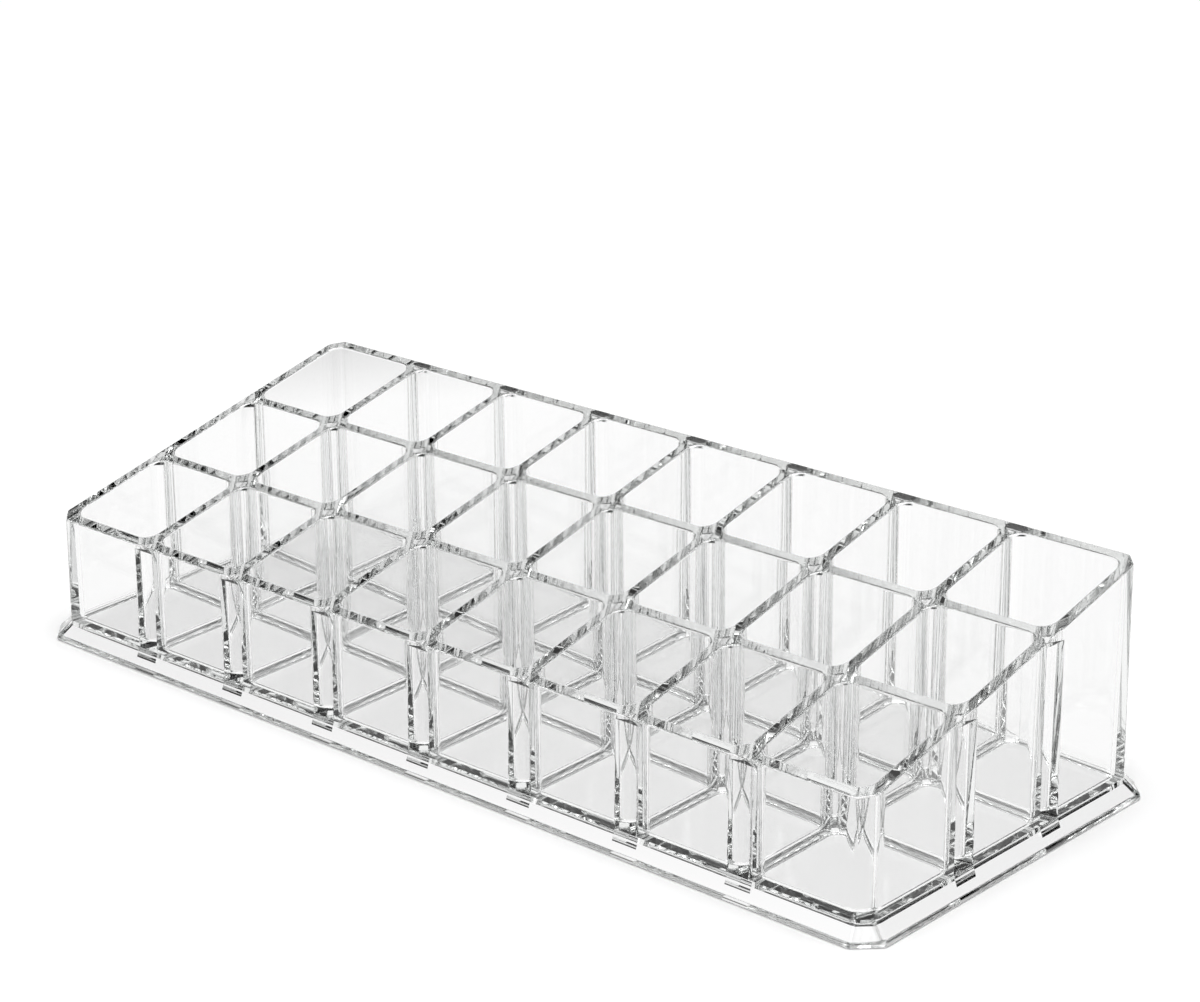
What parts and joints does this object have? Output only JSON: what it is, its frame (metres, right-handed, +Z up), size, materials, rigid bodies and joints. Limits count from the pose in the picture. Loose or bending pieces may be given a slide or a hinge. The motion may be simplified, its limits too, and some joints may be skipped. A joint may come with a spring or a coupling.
{
  "type": "vanity organizer",
  "caption": "Clear stepped-profile cosmetics organizer: a slanting block of square wells with round corners on a bevelled base.",
  "frame": {"origin": "middle of the resting face, under the middle of the bounding box", "axes": "+X along the length, +Y from the low front to the high back, +Z up"},
  "size_m": [0.217, 0.087, 0.0465],
  "materials": {
    "clear_polystyrene": "clear, polished"
  },
  "bodies": {
    "root": {"bevelled_skirt": "clear_polystyrene", "floor_plate": "clear_polystyrene", "front_wall": "clear_polystyrene", "front_row_divider": "clear_polystyrene", "rear_row_divider": "clear_polystyrene", "rear_wall": "clear_polystyrene", "left_end_wall": "clear_polystyrene", "right_end_wall": "clear_polystyrene", "cross_divider_1": "clear_polystyrene", "cross_divider_2": "clear_polystyrene", "cross_divider_3": "clear_polystyrene", "cross_divider_4": "clear_polystyrene", "cross_divider_5": "clear_polystyrene", "cross_divider_6": "clear_polystyrene", "cross_divider_7": "clear_polystyrene"}
  },
  "joints": []
}
